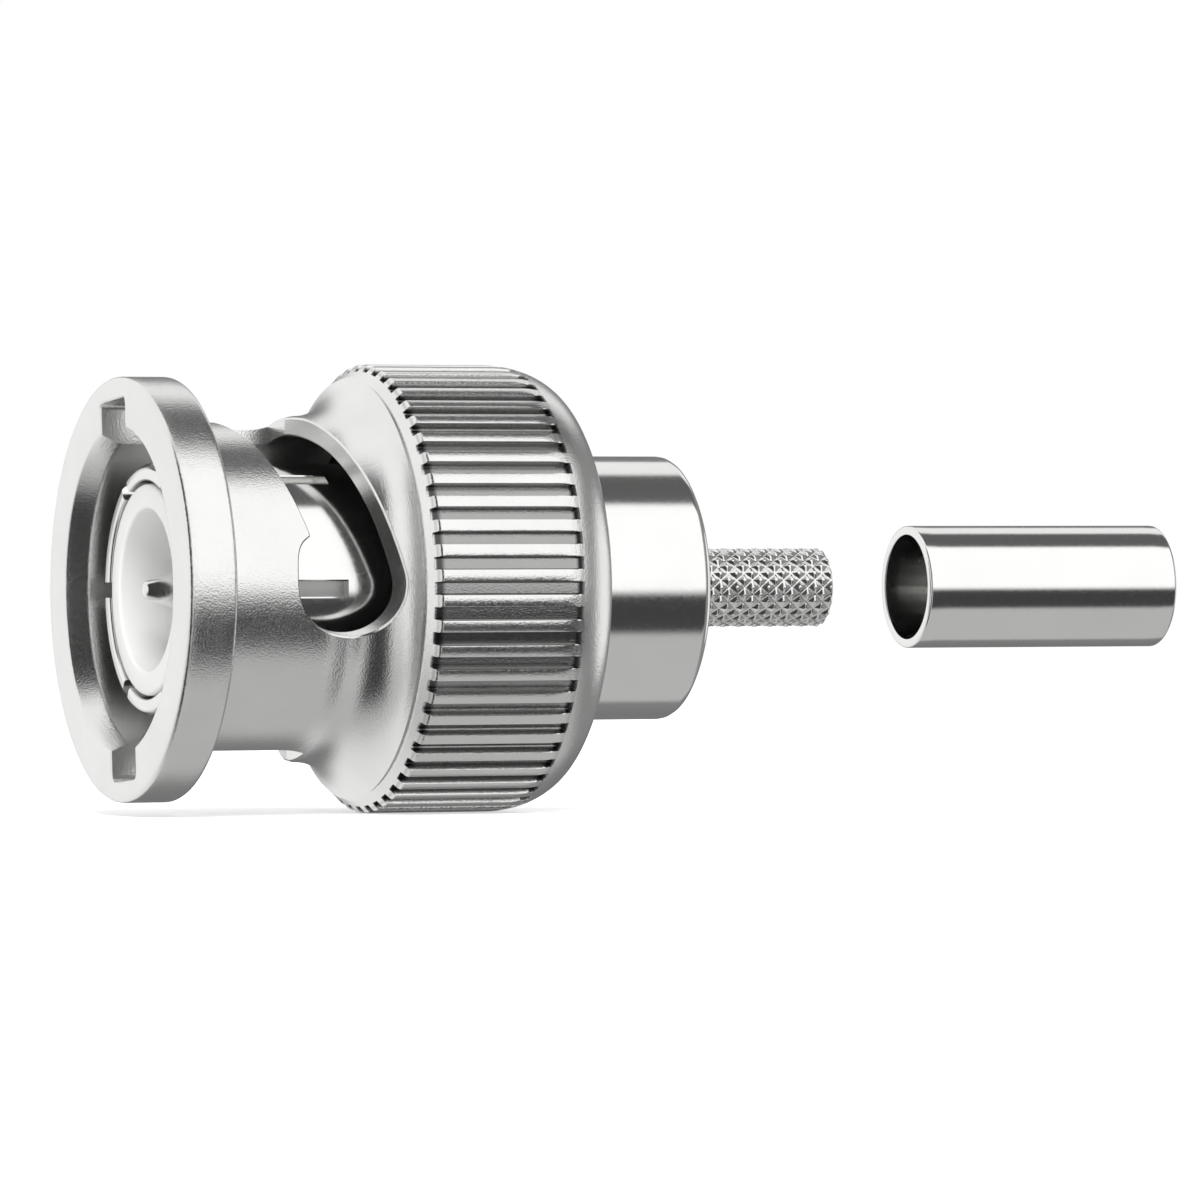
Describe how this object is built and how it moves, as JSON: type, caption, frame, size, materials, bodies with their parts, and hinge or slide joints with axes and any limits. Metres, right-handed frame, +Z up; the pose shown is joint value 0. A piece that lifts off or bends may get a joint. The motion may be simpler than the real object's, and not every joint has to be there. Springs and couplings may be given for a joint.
{
  "type": "bnc cable plug with crimp ferrule",
  "caption": "Round bayonet-lock coaxial cable plug: slotted and ribbed turning nut, slit outer contact, white insulator, centre pin, knurled crimp stem and a separate ferrule.",
  "frame": {"origin": "on the plug's axis, in the plane of the mating face", "axes": "+X along the plug's axis from the mating face to the cable, +Z up with the ribbed grip resting below"},
  "size_m": [0.0366, 0.0144, 0.0144],
  "materials": {
    "satin_nickel": "nickel plated brass with a fine matt grain",
    "bright_nickel": "nickel plated brass, smooth and bright",
    "white_insulator": "smooth white fluoropolymer",
    "silver_contact": "silver plated brass, smooth",
    "red_rubber": "silicone rubber",
    "spring_steel": "spring steel",
    "plain_brass": "plain turned brass"
  },
  "bodies": {
    "plug_body": {"rear_body": "bright_nickel", "outer_contact": "bright_nickel", "front_insulator": "white_insulator", "rear_insulator": "white_insulator", "centre_pin": "silver_contact", "gasket": "red_rubber", "front_wave_washer": "spring_steel"},
    "middle_washer": {"flat_washer": "spring_steel"},
    "thrust_ring": {"thrust_washer": "plain_brass", "rear_wave_washer": "spring_steel"},
    "nut": {"coupling_nut": "satin_nickel"},
    "ferrule": {"crimp_ferrule": "bright_nickel"}
  },
  "joints": [
    {"name": "nut_pull", "type": "slide", "parent": "plug_body", "child": "thrust_ring", "axis": [-1, 0, 0], "range_m": [0, 0.0007], "stiffness_N_per_m": 2000, "deforming": ["front_wave_washer", "rear_wave_washer"]},
    {"name": "washer_follow", "type": "slide", "parent": "plug_body", "child": "middle_washer", "axis": [-1, 0, 0], "range_m": [0, 0.00035]},
    {"name": "nut_turn", "type": "hinge", "parent": "thrust_ring", "child": "nut", "pos_m": [0, 0, 0], "axis": [1, 0, 0], "continuous": true},
    {"name": "ferrule_slide", "type": "slide", "parent": "plug_body", "child": "ferrule", "axis": [-1, 0, 0], "range_m": [0, 0.0087]}
  ],
  "couplings": [
    {"joint": "washer_follow", "follows": "nut_pull", "ratio": 0.5}
  ]
}
